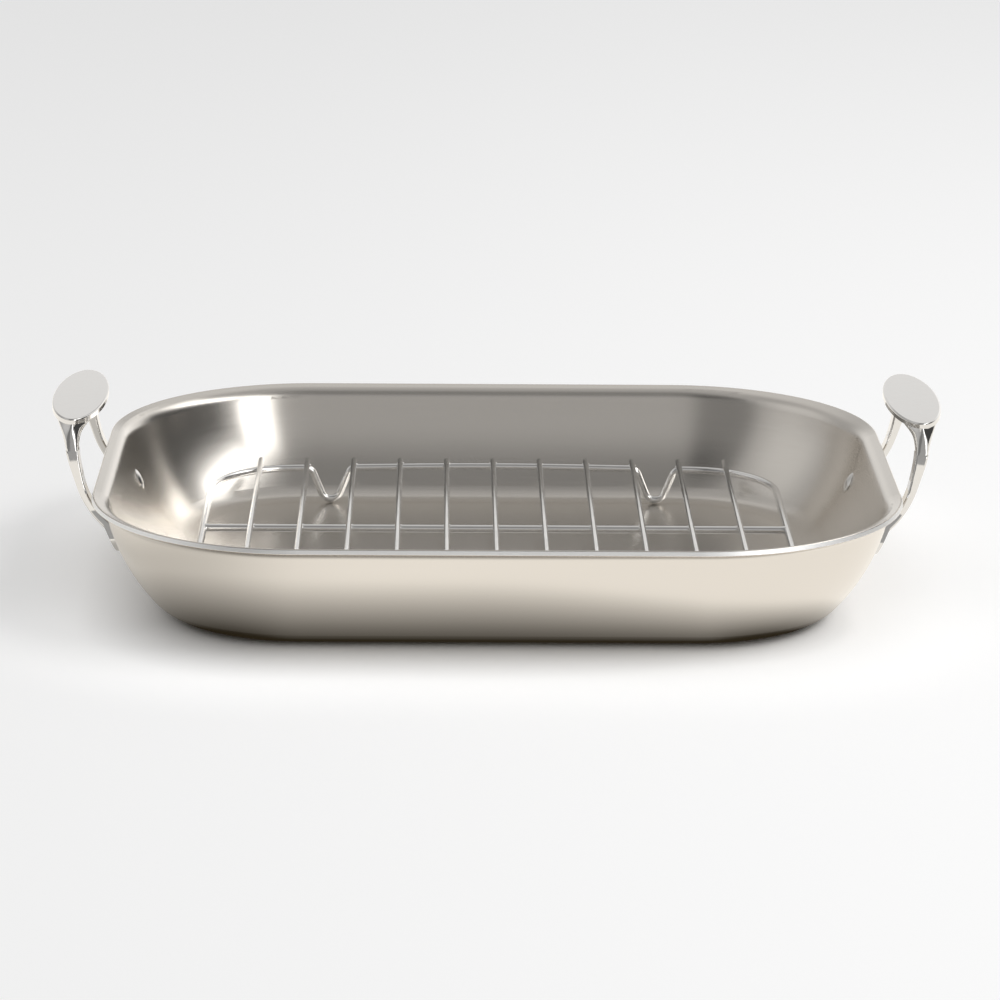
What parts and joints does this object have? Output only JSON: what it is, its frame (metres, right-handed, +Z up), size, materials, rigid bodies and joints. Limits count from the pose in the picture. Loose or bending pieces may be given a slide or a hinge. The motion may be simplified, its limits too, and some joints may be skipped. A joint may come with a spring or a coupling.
{
  "type": "roasting pan with rack",
  "caption": "Rectangular steel roasting pan with sloping curved walls, a raised flange, riveted loop handles and a lift-out wire rack on V-shaped feet.",
  "frame": {"origin": "on the surface the pan stands on, under the middle of the pan", "axes": "+X along the pan towards one handle, +Y across it, +Z up out of the pan"},
  "size_m": [0.456, 0.332, 0.0938],
  "materials": {
    "pan_steel": "satin brushed stainless steel",
    "handle_steel": "polished cast stainless steel",
    "rivet_steel": "polished stainless steel rivet",
    "rack_wire": "bright plated steel wire"
  },
  "bodies": {
    "pan": {"pan_body": "pan_steel", "left_handle": "handle_steel", "right_handle": "handle_steel", "left_front_rivet": "rivet_steel", "left_rear_rivet": "rivet_steel", "right_front_rivet": "rivet_steel", "right_rear_rivet": "rivet_steel"},
    "rack": {"rack_frame_wire": "rack_wire", "rack_centre_wire": "rack_wire", "rack_cross_rod_01": "rack_wire", "rack_cross_rod_02": "rack_wire", "rack_cross_rod_03": "rack_wire", "rack_cross_rod_04": "rack_wire", "rack_cross_rod_05": "rack_wire", "rack_cross_rod_06": "rack_wire", "rack_cross_rod_07": "rack_wire", "rack_cross_rod_08": "rack_wire", "rack_cross_rod_09": "rack_wire", "rack_cross_rod_10": "rack_wire", "rack_cross_rod_11": "rack_wire"}
  },
  "joints": [
    {"name": "rack_lift", "type": "slide", "parent": "pan", "child": "rack", "axis": [0, 0, 1], "range_m": [0, 0.12]}
  ]
}
